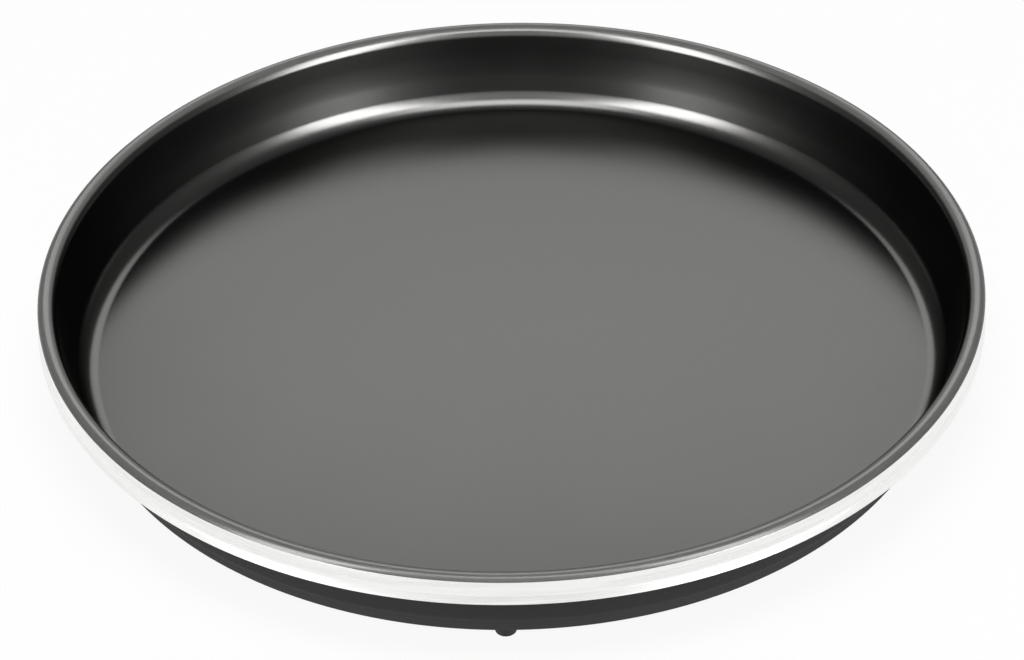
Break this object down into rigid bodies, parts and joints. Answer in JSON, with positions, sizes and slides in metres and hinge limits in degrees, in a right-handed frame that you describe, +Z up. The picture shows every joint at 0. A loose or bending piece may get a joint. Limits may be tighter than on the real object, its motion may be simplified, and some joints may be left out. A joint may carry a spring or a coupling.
{
  "type": "microwave crisp plate",
  "caption": "Round shallow metal plate with a non-stick lining, a rolled rim, a ferrite-filled disc under its floor and small feet, for browning food in a microwave oven.",
  "frame": {"origin": "on the plate's axis, on the surface that the feet stand on", "axes": "+Z up along the plate's axis, -Y towards the front foot, +X to the right"},
  "size_m": [0.305, 0.305, 0.0348],
  "materials": {
    "dish_steel": "bright, polished on the turned-down rim",
    "lining": "satin dark grey non-stick coat",
    "outer_coat": "matt near-black coat",
    "ferrite_silicone": "matt dark grey ferrite-filled silicone",
    "foot_silicone": "matt black silicone"
  },
  "bodies": {
    "root": {"dish": "dish_steel", "nonstick_lining": "lining", "outer_coat": "outer_coat", "ferrite_disc": "ferrite_silicone", "foot_front": "foot_silicone", "foot_back_right": "foot_silicone", "foot_back_left": "foot_silicone"}
  },
  "joints": []
}
